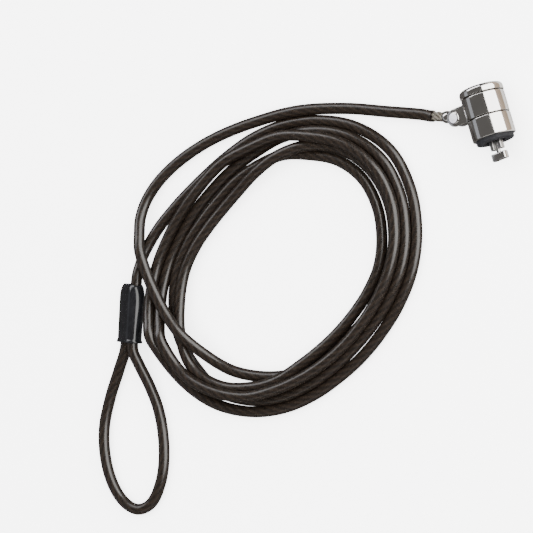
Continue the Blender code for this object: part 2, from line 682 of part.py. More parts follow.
def smooth_route(points):
    """Points a fixed distance apart along a smooth curve through the given ones."""
    ends = [points[0] * 2 - points[1], *points, points[-1] * 2 - points[-2]]
    fine = []
    for before, start, end, after in zip(ends, ends[1:], ends[2:], ends[3:]):
        stretch = (end - start).length / 3
        out = start + (end - before).normalized() * stretch
        into = end - (after - start).normalized() * stretch
        fine += interpolate_bezier(start, out, into, end, 13)[:-1]
    fine.append(points[-1])
    run = [0.0]
    for a, b in zip(fine, fine[1:]):
        run.append(run[-1] + (b - a).length)
    count = max(2, round(run[-1] / CABLE_POINT_SPACING))
    route, at = [], 0
    for i in range(count + 1):
        distance = run[-1] * i / count
        while at < len(run) - 2 and run[at + 1] < distance:
            at += 1
        share = (distance - run[at]) / (run[at + 1] - run[at])
        route.append(fine[at].lerp(fine[at + 1], share))
    return route


def cable_tube(name, points):
    curve = tube_curve(name, points, CABLE_RADIUS, 3)
    curve.materials.append(SHEATH)
    PARTS.objects.link(bpy.data.objects.new(name, curve))


def laid(route):
    """The points of a route, each lifted by so many cable diameters from where the cable rests."""
    return [Vector((x * MM, y * MM, CABLE_RADIUS + lift * 2 * CABLE_RADIUS)) for x, y, lift in route]


def fork_point(distance):
    """A point on the line of the cable's end, at a distance from the rivet's axis."""
    return HEAD.matrix_local @ FORK.matrix_local @ Vector((distance, 0.0, 0.0))


def cable_lead():
    """The sheath starts square to the bare wire, and then follows its route."""
    route = smooth_route([fork_point(SHEATH_START + STRAIGHT_END), *laid(LEAD_ROUTE)])
    cable_tube("cable_lead", [fork_point(SHEATH_START), *route])


def oval(inset):
    """The coil's outer edge, drawn in by a distance."""
    angles = [2 * pi * i / COIL_STEPS for i in range(COIL_STEPS)]
    radii = [COIL_OUTER_RADIUS + COIL_OVAL * cos(2 * (a - COIL_OVAL_ANGLE)) - inset for a in angles]
    return [(r * cos(a), r * sin(a)) for r, a in zip(radii, angles)]


def cable_coil():
    width = COIL_STRANDS_WIDE * 2 * CABLE_RADIUS
    height = COIL_STRANDS_HIGH * 2 * CABLE_RADIUS
    mesh = plate_mesh("cable_coil", [oval(0.0), oval(width)], height)
    as_part("cable_coil", mesh, SHEATH, None, COIL_CENTRE + Vector((0.0, 0.0, height / 2)))


def sleeve_frame():
    """The ferrule's middle: X runs across its two legs, rolled up on one side, and Z runs down the sleeve."""
    level = Vector((-SLEEVE_HEADING.y, SLEEVE_HEADING.x, 0.0))
    across = level * cos(SLEEVE_ROLL) + Vector((0.0, 0.0, sin(SLEEVE_ROLL)))
    axes = Matrix((across, SLEEVE_HEADING.cross(across), SLEEVE_HEADING)).transposed().to_4x4()
    middle = SLEEVE_TOP + SLEEVE_HEADING * COVER_LENGTH / 2 + Vector((0.0, 0.0, SLEEVE_AXIS_HEIGHT))
    return add_empty("loop_axis", Matrix.Translation(middle) @ axes)


def leg_point(side, distance):
    """A point on a leg, at a distance from the sleeve's top: side -1 is the blind leg, 1 the running one."""
    return LOOP.matrix_local @ Vector((side * LEG_SPACING / 2, 0.0, distance - COVER_LENGTH / 2))


def cable_tail_and_eye():
    """From the coil to the ferrule, straight through it, round the eye and back in to a blind end."""
    mouth = -LEG_STRAIGHT
    foot = COVER_LENGTH + LEG_STRAIGHT
    tail = smooth_route([*laid(TAIL_ROUTE), leg_point(1, mouth)])
    eye = smooth_route([leg_point(1, foot), *laid(EYE_ROUTE), leg_point(-1, foot)])
    cable_tube("cable_tail_and_eye", [*tail, *eye, leg_point(-1, COVER_LENGTH / 4)])


def stadium(radius):
    """Outline of two half circles of a radius about the two legs, joined by straight sides."""
    offset = LEG_SPACING / 2
    turns = [pi * (i / STADIUM_STEPS - 0.5) for i in range(STADIUM_STEPS + 1)]
    right = [(offset + radius * cos(a), radius * sin(a)) for a in turns]
    return right + [(-x, -y) for x, y in right]


def loop_ferrule():
    bores = [circle(LEG_BORE_RADIUS, 20, (side * LEG_SPACING / 2, 0.0)) for side in (-1, 1)]
    mesh = plate_mesh("loop_ferrule", [stadium(FERRULE_RADIUS), *bores], FERRULE_LENGTH)
    as_part("loop_ferrule", mesh, ALUMINIUM, LOOP)


def loop_cover():
    mesh = plate_mesh("loop_cover", [stadium(COVER_RADIUS), stadium(COVER_BORE_RADIUS)], COVER_LENGTH)
    as_part("loop_cover", mesh, GLOSS_BLACK, LOOP)


lower_barrel()
swivel_collar()
cap_ring()
lock_sleeve()
plug_rotor()
pin_block()
pin_stacks()
cross_pin()
guide_block()
spindle()
t_bar()
face_pad()
rivet()
end_fitting()
bare_wire()
cable_lead()
cable_coil()
LOOP = sleeve_frame()
cable_tail_and_eye()
loop_ferrule()
loop_cover()
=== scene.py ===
"""A laptop cable lock lying on a table: its steel cable is coiled, with the nickel-plated head at one
end and a loop at the other."""

import json
from math import asin, cos, hypot, pi, radians, sin

import bmesh
import bpy
import numpy as np
from mathutils import Matrix, Vector

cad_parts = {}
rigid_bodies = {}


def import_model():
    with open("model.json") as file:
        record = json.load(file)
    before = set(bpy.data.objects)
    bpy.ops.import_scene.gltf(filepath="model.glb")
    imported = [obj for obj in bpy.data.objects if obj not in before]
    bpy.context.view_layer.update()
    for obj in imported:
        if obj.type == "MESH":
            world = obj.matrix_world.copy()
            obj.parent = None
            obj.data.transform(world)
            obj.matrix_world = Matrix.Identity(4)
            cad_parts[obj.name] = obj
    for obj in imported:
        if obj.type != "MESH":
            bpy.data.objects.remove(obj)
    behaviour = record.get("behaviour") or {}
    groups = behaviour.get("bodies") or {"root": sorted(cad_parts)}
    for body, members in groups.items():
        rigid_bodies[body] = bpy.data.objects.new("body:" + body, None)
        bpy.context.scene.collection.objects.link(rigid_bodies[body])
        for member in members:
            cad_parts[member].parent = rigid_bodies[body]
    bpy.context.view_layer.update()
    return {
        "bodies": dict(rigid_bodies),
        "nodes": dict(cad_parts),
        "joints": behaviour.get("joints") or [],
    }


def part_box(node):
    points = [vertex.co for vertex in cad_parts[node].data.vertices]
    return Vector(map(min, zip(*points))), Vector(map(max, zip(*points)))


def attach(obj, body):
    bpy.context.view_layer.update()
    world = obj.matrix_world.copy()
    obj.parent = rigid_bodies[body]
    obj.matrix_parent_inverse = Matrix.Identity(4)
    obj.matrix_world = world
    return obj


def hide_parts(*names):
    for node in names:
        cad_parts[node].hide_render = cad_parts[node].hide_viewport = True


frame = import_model()
MM = 0.001


# --- Camera, table and studio lights --------------------------------------------------------------
# A long lens looks down on the lock from high on its right. Softboxes stand round a pale, plain table
# and a wide silk hangs overhead. Polished metal mirrors three cards in place of the table they lie on.

VIEW_AZIMUTH = radians(70.47)
VIEW_ELEVATION = radians(63.98)
VIEW_ROLL = radians(-87.95)
VIEW_DISTANCE = 1.16
VIEW_TARGET = Vector((-0.1068, -0.0219, 0.0))
VIEW_ANGLE = radians(10.5)
NEAREST_SEEN = 0.01


def link(thing):
    bpy.context.scene.collection.objects.link(thing)
    return thing


def looking(location, target, roll=0.0):
    """The placing of a camera or a lamp that looks from a point at another."""
    aim = (Vector(target) - Vector(location)).to_track_quat("-Z", "Y")
    return Matrix.Translation(location) @ aim.to_matrix().to_4x4() @ Matrix.Rotation(roll, 4, "Z")


backwards = Vector((
    sin(VIEW_AZIMUTH) * cos(VIEW_ELEVATION), -cos(VIEW_AZIMUTH) * cos(VIEW_ELEVATION), sin(VIEW_ELEVATION),
))
camera = link(bpy.data.objects.new("camera", bpy.data.cameras.new("camera")))
camera.matrix_world = looking(VIEW_TARGET + backwards * VIEW_DISTANCE, VIEW_TARGET, VIEW_ROLL)
camera.data.angle = VIEW_ANGLE
camera.data.clip_start = NEAREST_SEEN
bpy.context.scene.camera = camera

STUDIO = Vector((-0.08, 0.0, 0.0))


def softbox(name, place, size, radiance, colour=(1.0, 1.0, 1.0), mirrored=True):
    """A rectangular lamp of even brightness. An unmirrored one lights the table but shows in no polish."""
    data = bpy.data.lights.new(name, "AREA")
    data.shape = "RECTANGLE"
    data.size, data.size_y = size
    data.energy = radiance * pi * size[0] * size[1]
    data.color = colour
    lamp = link(bpy.data.objects.new(name, data))
    lamp.matrix_world = looking(STUDIO + Vector(place), STUDIO)
    lamp.visible_camera = False
    lamp.visible_glossy = mirrored


softbox("right_box", (0.95, 0.05, 0.50), (1.7, 1.25), 6.5, (1.0, 0.99, 0.97))
softbox("back_box", (-0.35, 1.0, 0.75), (1.5, 0.5), 5.0, (0.97, 0.97, 1.0))
softbox("front_box", (-0.2, -1.1, 0.6), (1.4, 0.35), 0.9, (1.0, 0.98, 0.95))
softbox("left_box", (-1.1, 0.0, 0.54), (1.6, 0.5), 0.38, (0.82, 0.88, 1.0))
softbox("silk", (0.0, 0.0, 1.7), (2.6, 2.6), 6.4, mirrored=False)

ROOM_TONE = (0.13, 0.125, 0.12, 1.0)
world = bpy.data.worlds.new("studio")
bpy.context.scene.world = world
world.use_nodes = True
world.node_tree.nodes["Background"].inputs["Color"].default_value = ROOM_TONE


class Value:
    """A shader socket that arithmetic works on: each operator adds its Math node."""

    def __init__(self, finish, socket):
        self.finish, self.socket = finish, socket

    def maths(self, operation, *others):
        terms = [self, *others]
        return self.finish.node("ShaderNodeMath", {"operation": operation}, dict(enumerate(terms)))

    def __add__(self, other):
        return self.maths("ADD", other)

    def __mul__(self, other):
        return self.maths("MULTIPLY", other)

    __radd__ = __add__
    __rmul__ = __mul__

    def sine(self):
        return self.maths("SINE")

    def clamped(self):
        return self.finish.node("ShaderNodeClamp", {}, {"Value": self})


class Finish:
    """A material: a Principled shader with its constants, and the nodes that vary over the surface."""

    def __init__(self, name, **constants):
        self.material = bpy.data.materials.new(name)
        self.material.use_nodes = True
        self.tree = self.material.node_tree
        self.shader = self.tree.nodes["Principled BSDF"]
        self.wear(**constants)

    def feed(self, socket, value):
        if isinstance(value, Value):
            self.tree.links.new(value.socket, socket)
        else:
            socket.default_value = value

    def node(self, kind, settings, inputs, output=0):
        made = self.tree.nodes.new(kind)
        for key, value in settings.items():
            if key == "stops":
                self.ramp(made.color_ramp, value)
            else:
                setattr(made, key, value)
        for key, value in inputs.items():
            self.feed(made.inputs[key], value)
        return Value(self, made.outputs[output])

    def ramp(self, ramp, stops):
        while len(ramp.elements) < len(stops):
            ramp.elements.new(1.0)
        for element, (position, colour) in zip(ramp.elements, stops):
            element.position = position
            element.color = (*colour, 1.0)

    def noise(self, scale, detail=3.0):
        place = self.node("ShaderNodeTexCoord", {}, {}, "Object")
        return self.node("ShaderNodeTexNoise", {}, {"Vector": place, "Scale": scale, "Detail": detail})

    def shades(self, amount, *stops):
        """Colours that follow an amount, each stop an amount and its colour."""
        return self.node("ShaderNodeValToRGB", {"stops": stops}, {0: amount})

    def wear(self, **values):
        """Sets or feeds sockets of the shader by their names, with underscores for spaces."""
        for socket, value in values.items():
            self.feed(self.shader.inputs[socket.replace("_", " ")], value)

    def bump(self, height, depth, strength):
        """Relief of a depth in metres."""
        inputs = {"Height": height, "Distance": depth, "Strength": strength}
        self.wear(Normal=self.node("ShaderNodeBump", {}, inputs))


CREASE = radians(34)


def make_object(name, shape, *finishes, crease=CREASE):
    """An object from a bmesh, with its finishes, shaded smooth up to its creases."""
    mesh = bpy.data.meshes.new(name)
    shape.to_mesh(mesh)
    shape.free()
    for finish in finishes:
        mesh.materials.append(finish.material)
    mesh.shade_smooth()
    mesh.set_sharp_from_angle(angle=crease)
    return link(bpy.data.objects.new(name, mesh))


TABLE_SIZE = 6.0
TABLE_DROP = 0.2 * MM
TABLE_GLOW = 3.0
WHITE = (1.0, 1.0, 1.0)

table_top = Finish("pale_table", Roughness=0.75, Specular_IOR_Level=0.2, Emission_Strength=TABLE_GLOW)
table_tone = table_top.noise(3.0, 2.0)
table_top.wear(
    Emission_Color=table_top.shades(table_tone, (0.3, (0.97, 0.97, 0.98)), (0.7, WHITE)),
    Base_Color=table_top.shades(table_tone, (0.3, (0.92, 0.92, 0.925)), (0.7, (0.95, 0.95, 0.95))),
)
sheet = bmesh.new()
bmesh.ops.create_grid(
    sheet, x_segments=1, y_segments=1, size=TABLE_SIZE / 2,
    matrix=Matrix.Translation((0.0, 0.0, -TABLE_DROP)),
)
table = make_object("table", sheet, table_top)
table.visible_glossy = False

CARD_HALF_DEPTH = 0.05


def reflector(name, near, far, darker, lighter, glow=0.0):
    """A card on the table between two distances to the right of the head, seen only in polished metal."""
    finish = Finish(name, Roughness=0.8, Specular_IOR_Level=0.1, Emission_Strength=glow)
    tone = finish.noise(20.0)
    finish.wear(
        Base_Color=finish.shades(tone, (0.3, darker), (0.7, lighter)),
        Emission_Color=finish.shades(tone, (0.3, (0.96, 0.96, 0.97)), (0.7, WHITE)),
    )
    half_depth = CARD_HALF_DEPTH + far / 2
    shape = bmesh.new()
    corners = ((near, -half_depth), (far, -half_depth), (far, half_depth), (near, half_depth))
    shape.faces.new([shape.verts.new((x, y, 0.0)) for x, y in corners])
    card = make_object(name, shape, finish)
    card.visible_camera = card.visible_shadow = card.visible_diffuse = False
    return card


reflector("pale_card", 0.012, 0.0225, (0.33, 0.32, 0.31), (0.41, 0.40, 0.39))
reflector("warm_card", 0.0225, 0.185, (0.12, 0.092, 0.069), (0.18, 0.138, 0.104))
reflector("bright_card", 0.185, 1.3, (0.90, 0.90, 0.90), (0.95, 0.95, 0.95), TABLE_GLOW)


# --- The cable ------------------------------------------------------------------------------------
# One length of twisted steel wire rope in a sheath of smoke-coloured clear vinyl. It leaves the head,
# crosses over the coil's left side, runs round in the coil, and ends in a loop that a ferrule closes.

CABLE_RADIUS = 2.3 * MM
CABLE_DIAMETER = 2 * CABLE_RADIUS
SHEATH_START = 11.85 * MM
STRAIGHT_END = 1.5 * MM
COVER_LENGTH = 24.0 * MM
LEG_SPACING = 5.3 * MM
LEG_STRAIGHT = 2.0 * MM
SLEEVE_ROLL = radians(29)
RIVET_TO_CABLE = radians(22.5)

# The route in mm on the table: from the head to the coil, from the coil to the ferrule, round the eye
LEAD_ROUTE = (
    (-24.5, 14.0, 2.4), (-37.5, 19.6, 2.3), (-54.0, 26.6, 2.3), (-73.2, 32.2, 2.3), (-94.0, 34.4, 2.3),
    (-111.4, 34.2, 2.3), (-126.4, 31.6, 2.3), (-138.8, 27.0, 2.7), (-147.6, 20.8, 5.0),
    (-152.6, 13.6, 8.2), (-154.4, 6.0, 9.9), (-155.2, -1.0, 10.1),
)
OVER_COIL_ROUTE = ((-153.8, -14.5, 7.0), (-151.6, -26.0, 7.0), (-147.2, -37.5, 7.0))
TAIL_ROUTE = (
    (-132.8, 15.6, 2.3), (-139.6, 11.9, 2.3), (-146.4, 7.6, 2.3), (-153.0, 1.9, 3.2), (-157.9, -3.8, 5.1),
)
SLEEVE_TOP = Vector((-164.0, -11.1, 0.0)) * MM
SLEEVE_HEADING = Vector((-0.361, -0.933, 0.0)).normalized()
EYE_ROUTE = (
    (-171.0, -43.0, 5.6), (-170.0, -52.0, 3.6), (-169.4, -62.0, 2.4), (-170.3, -72.5, 2.3),
    (-173.2, -83.5, 2.3), (-177.6, -92.0, 2.3), (-184.0, -98.4, 2.3), (-191.0, -98.9, 2.3),
    (-196.4, -93.4, 2.3), (-199.0, -84.0, 2.3), (-198.6, -73.0, 2.3), (-195.6, -62.5, 2.3),
    (-189.2, -51.6, 2.3), (-181.4, -41.9, 3.1),
)

# The coil: an oval inner edge, and the lane that the strand keeps at each place, counted outwards from
# that edge. Each entry is the turn (0 at the back, then left, front, right), the lane, and the strand's
# order of laying: of two strands that cross, the later one lies on top.
COIL_CENTRE = Vector((-99.0, -25.4, 0.0)) * MM
COIL_MEAN_RADIUS = 40.2 * MM
COIL_OVAL = 7.4 * MM
COIL_OVAL_ANGLE = radians(28)
LANE = 4.72 * MM
COIL_LANES = (
    (0.33, -0.50, 6), (0.37, -0.55, 6), (0.405, -0.45, -1), (0.44, -0.10, -1), (0.49, 0.55, -1),
    (0.55, 0.90, -1), (0.62, 1.00, -1), (0.75, 0.75, -1), (0.87, 1.00, 1), (0.92, 0.85, 1), (0.97, 0.40, 1),
    (1.02, 0.10, 1), (1.13, 0.08, 1), (1.25, 0.10, 1), (1.30, 0.60, 1), (1.33, 1.10, 1), (1.36, 1.12, 1),
    (1.39, 0.72, 1), (1.43, 0.42, 1), (1.49, 0.05, 1), (1.58, 0.10, 1), (1.68, -0.10, 1),
    (1.76, -0.35, 1), (1.87, 0.0, 0), (1.92, 0.10, 0), (1.96, 0.65, 0),
    (2.03, 1.08, 0), (2.13, 1.03, 0), (2.25, 1.02, 0), (2.32, 1.15, 0), (2.38, 1.65, 0),
    (2.46, 1.80, 0), (2.56, 2.00, 0), (2.75, 2.05, 0), (2.84, 2.30, 0), (2.92, 2.15, 0),
    (3.00, 1.95, 0), (3.05, 2.10, 0), (3.11, 2.08, 0), (3.17, 1.97, 0), (3.25, 2.00, 0),
    (3.31, 1.95, 4), (3.37, 1.55, 4), (3.46, 1.10, 4), (3.58, 1.45, 4), (3.70, 1.30, 4),
    (3.80, 1.50, 4), (3.90, 1.60, 4), (3.98, 2.30, 4), (4.05, 2.90, 4), (4.10, 2.84, 4),
    (4.17, 2.74, 4), (4.25, 2.90, 4), (4.33, 2.80, -2), (4.42, 2.70, -2), (4.50, 2.75, -2),
    (4.58, 2.92, -2), (4.67, 2.88, -2), (4.75, 2.88, -2), (4.83, 3.30, -2), (4.92, 3.05, -2),
    (5.01, 3.20, -2), (5.075, 3.45, -2),
)
COIL_POINTS_PER_TURN = 24
FIRST_TURN, LAST_TURN = COIL_LANES[0][0], COIL_LANES[-1][0]
BACK = pi / 2


def eased(turn, column):
    """The value of a column of COIL_LANES at a turn, moving smoothly from one entry to the next."""
    for before, after in zip(COIL_LANES, COIL_LANES[1:]):
        if turn <= after[0]:
            share = (turn - before[0]) / (after[0] - before[0])
            share = share * share * (3 - 2 * share)
            return before[column] + (after[column] - before[column]) * share
    return COIL_LANES[-1][column]


def coil_point(turn):
    angle = BACK + 2 * pi * turn
    inner = COIL_MEAN_RADIUS + COIL_OVAL * cos(2 * (angle - COIL_OVAL_ANGLE))
    radius = inner + CABLE_RADIUS + eased(turn, 1) * LANE
    return COIL_CENTRE + Vector((radius * cos(angle), radius * sin(angle), CABLE_RADIUS))


# The head's own axes: Z along its turning axis, X in the plane of its ears and T-bar
joints = {joint["name"]: joint for joint in frame["joints"]}
head_pivot = Vector(joints["head_swivel"]["pos_m"])
head_roll = asin(-joints["cable_pivot"]["axis"][0])
head_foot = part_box("lower_barrel")[0][1]
HEAD = Matrix((
    (cos(head_roll), sin(head_roll), 0.0, head_pivot.x),
    (0.0, 0.0, 1.0, head_foot),
    (sin(head_roll), -cos(head_roll), 0.0, head_pivot.z),
    (0.0, 0.0, 0.0, 1.0),
))
rivet_place = HEAD.inverted() @ Vector(joints["cable_pivot"]["pos_m"])
# The cable end's axes: Z along the rivet, X along the cable's end
FORK = HEAD @ Matrix.Translation(rivet_place) @ Matrix((
    (-cos(RIVET_TO_CABLE), sin(RIVET_TO_CABLE), 0.0, 0.0),
    (0.0, 0.0, 1.0, 0.0),
    (sin(RIVET_TO_CABLE), cos(RIVET_TO_CABLE), 0.0, 0.0),
    (0.0, 0.0, 0.0, 1.0),
))
cover_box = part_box("loop_cover")
LEG_HEIGHT = (cover_box[0][2] + cover_box[1][2]) / 2
ACROSS = Vector((
    -SLEEVE_HEADING.y * cos(SLEEVE_ROLL), SLEEVE_HEADING.x * cos(SLEEVE_ROLL), sin(SLEEVE_ROLL),
))


def leg_point(side, distance):
    """A point on a leg in the ferrule: side 1 is the running leg, and -1 the one that ends inside."""
    between = SLEEVE_TOP + SLEEVE_HEADING * distance
    return between + ACROSS * side * LEG_SPACING / 2 + Vector((0, 0, LEG_HEIGHT))


def in_metres(route):
    return [Vector(point) * MM for point in route]


def smooth_curve(points, spacing, steps=16):
    """Points a fixed distance apart on a smooth curve through the given ones."""
    ends = [points[0] * 2 - points[1], *points, points[-1] * 2 - points[-2]]
    fine = []
    for before, start, end, after in zip(ends, ends[1:], ends[2:], ends[3:]):
        stretch = (end - start).length / 3
        out = start + (end - before).normalized() * stretch
        into = end - (after - start).normalized() * stretch
        for i in range(steps):
            t = i / steps
            u = 1 - t
            fine.append(start * u ** 3 + out * 3 * t * u ** 2 + into * 3 * t * t * u + end * t ** 3)
    fine.append(points[-1])
    fine = np.array(fine)
    run = np.concatenate([[0.0], np.cumsum(np.linalg.norm(np.diff(fine, axis=0), axis=1))])
    at = np.linspace(0.0, run[-1], round(run[-1] / spacing) + 1)
    return np.stack([np.interp(at, run, fine[:, axis]) for axis in range(3)], axis=1)


POINT_SPACING = 1.6 * MM
BLIND_END = COVER_LENGTH / 4
turns = np.linspace(FIRST_TURN, LAST_TURN, round((LAST_TURN - FIRST_TURN) * COIL_POINTS_PER_TURN) + 1)
head_stretch = [FORK @ Vector((d, 0.0, 0.0)) for d in (SHEATH_START, SHEATH_START + STRAIGHT_END)]
lead = head_stretch + in_metres(LEAD_ROUTE + OVER_COIL_ROUTE)
coil = [coil_point(turn) for turn in turns]
tail = in_metres(TAIL_ROUTE) + [leg_point(1, -LEG_STRAIGHT)]
below_cover = [leg_point(side, COVER_LENGTH + LEG_STRAIGHT) for side in (1, -1)]
eye = [below_cover[0], *in_metres(EYE_ROUTE), below_cover[1], leg_point(-1, BLIND_END)]
line = smooth_curve(lead + coil + tail + eye, POINT_SPACING)


def nearest(point):
    """The number of the line's point that is nearest to a given one."""
    return int(np.argmin(np.linalg.norm(line - np.array(point), axis=1)))


# The order of laying along the line: the tail first, the lead last
coil_start, coil_end = nearest(coil[0]), nearest(coil[-1])
angles = np.unwrap(np.arctan2(line[:, 1] - COIL_CENTRE.y, line[:, 0] - COIL_CENTRE.x)) / (2 * pi)
turn_here = angles - angles[coil_start] + FIRST_TURN
order = np.array([eased(turn, 2) for turn in turn_here])
order[:coil_start] = COIL_LANES[0][2]
order[coil_end + 1:] = COIL_LANES[-1][2]

PRESSED = 0.985 * CABLE_DIAMETER
LEAST_LOOP = 4 * CABLE_DIAMETER
ORDER_STEP = 0.2
EASING_PASSES = 60


def averaged(height, reach):
    """Heights averaged over a reach of points on either side, the nearest counting most."""
    weights = np.hanning(2 * reach + 3)[1:-1]
    return np.convolve(np.pad(height, reach, mode="edge"), weights / weights.sum(), mode="valid")


def lay_down(line, order):
    """Raises each strand that crosses another to lie on it, and lets it ease down on either side."""
    along = np.arange(len(line))
    floor = np.where(along > coil_end, line[:, 2], CABLE_RADIUS)
    gap = np.linalg.norm(line[:, None, :2] - line[None, :, :2], axis=2)
    apart = np.abs(along[:, None] - along[None, :]) * POINT_SPACING
    above = (gap < PRESSED) & (apart > LEAST_LOOP) & (order[:, None] > order[None, :] + ORDER_STEP)
    rise = np.where(above, np.sqrt(np.maximum(PRESSED ** 2 - gap ** 2, 0.0)), -1.0)
    height = floor.copy()
    for _ in range(EASING_PASSES):
        needed = np.maximum(floor, np.where(rise > 0, rise + height[None, :], 0.0).max(axis=1))
        height = np.maximum(needed, averaged(height, 3))
    return averaged(height, 2)


# By the head the line keeps its route's height, and past the tail's last point it keeps it again
HEAD_STRETCH = 14 * MM
HEAD_BLEND = 10 * MM
laid = lay_down(line, order)
blend_in = np.clip((np.arange(len(line)) * POINT_SPACING - HEAD_STRETCH) / HEAD_BLEND, 0.0, 1.0)
free = slice(0, nearest(tail[-2]))
line[free, 2] = (line[:, 2] * (1 - blend_in) + laid * blend_in)[free]


def sweep(path, radius, sides=14):
    """A tube along a path with flat ends. Its "rope" attribute keeps each point's direction out from the
    path and its distance along it."""
    path = np.asarray(path, dtype=float)
    heading = np.gradient(path, axis=0)
    heading /= np.linalg.norm(heading, axis=1)[:, None]
    side = np.cross(heading[0], (0.0, 0.0, 1.0))
    run = np.concatenate([[0.0], np.cumsum(np.linalg.norm(np.diff(path, axis=0), axis=1))])
    shape = bmesh.new()
    rope = shape.verts.layers.float_vector.new("rope")
    rings = []
    for point, ahead, distance in zip(path, heading, run):
        side -= ahead * np.dot(side, ahead)
        side /= np.linalg.norm(side)
        up = np.cross(side, ahead)
        ring = []
        for step in range(sides):
            c, s = cos(2 * pi * step / sides), sin(2 * pi * step / sides)
            vert = shape.verts.new(point + radius * (side * c + up * s))
            vert[rope] = (c, s, distance / MM)
            ring.append(vert)
        rings.append(ring)
    for ring, following in zip(rings, rings[1:]):
        for step in range(sides):
            after = (step + 1) % sides
            shape.faces.new((ring[step], ring[after], following[after], following[step]))
    shape.faces.new(rings[0][::-1])
    shape.faces.new(rings[-1])
    bmesh.ops.recalc_face_normals(shape, faces=shape.faces)
    return shape


def rope_phase(finish, strands, lay, slant=1):
    """The angle, in radians, of a helical pattern of so many strands that turns once in a lay, in mm."""
    rope = finish.node("ShaderNodeAttribute", {"attribute_name": "rope"}, {}, "Vector")
    x, y, along = (finish.node("ShaderNodeSeparateXYZ", {}, {0: rope}, axis) for axis in "XYZ")
    return (y.maths("ARCTAN2", x) + along * (slant * 2 * pi / lay)) * strands


vinyl = Finish("smoked_vinyl", Specular_IOR_Level=0.4, Coat_Weight=0.3, Coat_Roughness=0.14, Coat_IOR=1.5)
strand_tone = rope_phase(vinyl, 6, 30.0).sine() * 0.5 + 0.5
wire_tone = rope_phase(vinyl, 30, 24.0, -1).sine() * 0.5 + 0.5
cloud = vinyl.noise(900.0, 4.0)
rope_tone = (strand_tone * 0.2 + wire_tone * 0.45 + cloud * 0.35).clamped()
vinyl.wear(
    Base_Color=vinyl.shades(
        rope_tone,
        (0.25, (0.0025, 0.0020, 0.0018)), (0.55, (0.0065, 0.0046, 0.0035)), (0.85, (0.020, 0.0135, 0.009)),
    ),
    Roughness=vinyl.noise(400.0, 2.0) * 0.12 + 0.22,
)
vinyl.bump(wire_tone * 0.6 + cloud * 0.4, 0.05 * MM, 0.5)

cable = make_object("cable", sweep(line, CABLE_RADIUS), vinyl)
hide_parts("cable_lead", "cable_coil", "cable_tail_and_eye")
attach(cable, "cable")


# --- The cable's loop: ferrule and cover ----------------------------------------------------------
# A pressed aluminium ferrule holds the two legs of the eye side by side. A glossy black plastic cover
# is pushed over it, with round shoulders at the end the cable enters and a rolled lip at the eye.

aluminium = Finish("pressed_aluminium", Metallic=1.0)
aluminium.wear(
    Base_Color=aluminium.shades(
        aluminium.noise(500.0), (0.3, (0.62, 0.62, 0.63)), (0.7, (0.76, 0.76, 0.77)),
    ),
    Roughness=aluminium.noise(900.0) * 0.2 + 0.3,
)

gloss_black = Finish("gloss_black_plastic", Specular_IOR_Level=0.42, Coat_Weight=0.15, Coat_Roughness=0.06)
scuff = gloss_black.noise(250.0, 5.0)
gloss_black.wear(
    Base_Color=gloss_black.shades(scuff, (0.3, (0.003, 0.003, 0.0035)), (0.75, (0.007, 0.007, 0.008))),
    Roughness=scuff * 0.12 + 0.10,
)
gloss_black.bump(gloss_black.noise(120.0, 2.0), 0.12 * MM, 0.35)

# Each section, in mm: its distance from the cover's top, its round sides' radius and half their spacing
COVER_SECTIONS = (
    (0.5, 2.45, 1.30), (0.05, 2.62, 1.40), (0.1, 2.80, 1.55), (0.6, 3.08, 1.85), (1.5, 3.32, 2.15),
    (2.8, 3.52, 2.42), (4.5, 3.62, 2.60), (7.0, 3.64, 2.65), (14.0, 3.60, 2.60), (22.3, 3.52, 2.52),
    (22.8, 3.56, 2.56), (23.1, 3.78, 2.66), (23.7, 3.84, 2.68), (24.0, 3.70, 2.66),
    (23.8, 3.10, 2.62), (23.0, 2.86, 2.62),
)
ROUND_SIDE_STEPS = 14


def stadium(half_spacing, radius):
    """The outline of two half circles that straight lines join, as (x, y) points."""
    angles = [pi * (i / ROUND_SIDE_STEPS - 0.5) for i in range(ROUND_SIDE_STEPS + 1)]
    right = [(half_spacing + radius * cos(a), radius * sin(a)) for a in angles]
    return right + [(-x, -y) for x, y in right]


def lofted(sections):
    """A closed skin through stadium sections, each one (distance along Z, radius, half spacing)."""
    shape = bmesh.new()
    rings = [
        [shape.verts.new((x, y, z)) for x, y in stadium(spacing, radius)] for z, radius, spacing in sections
    ]
    for ring, following in zip(rings, rings[1:]):
        for i, j in zip(range(len(ring)), [*range(1, len(ring)), 0]):
            shape.faces.new((ring[i], ring[j], following[j], following[i]))
    shape.faces.new(rings[0])
    shape.faces.new(rings[-1][::-1])
    bmesh.ops.recalc_face_normals(shape, faces=shape.faces)
    return shape


def placed(shape, matrix):
    bmesh.ops.transform(shape, matrix=matrix, verts=shape.verts)
    return shape


def add_piece(name, shape, finishes, body, node, crease=CREASE):
    """A finished piece that stands for a CAD node and moves with a body."""
    piece = make_object(name, shape, *finishes, crease=crease)
    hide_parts(node)
    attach(piece, body)
    return piece


COVER_PLACE = Matrix.Translation(
    SLEEVE_TOP + SLEEVE_HEADING * COVER_LENGTH / 2 + Vector((0.0, 0.0, LEG_HEIGHT))
) @ Matrix((ACROSS, SLEEVE_HEADING.cross(ACROSS), SLEEVE_HEADING)).transposed().to_4x4()
sections = [(z * MM - COVER_LENGTH / 2, r * MM, half * MM) for z, r, half in COVER_SECTIONS]
cover = add_piece(
    "loop_cover_gloss", placed(lofted(sections), COVER_PLACE), [gloss_black],
    "cable", "loop_cover", crease=radians(60),
)


# --- The head: barrel, swivel collar and cap ------------------------------------------------------
# Three bands of polished nickel plate over zinc. The barrel carries the neck that the collar turns on,
# and the cap closes the top round the tubular keyway.

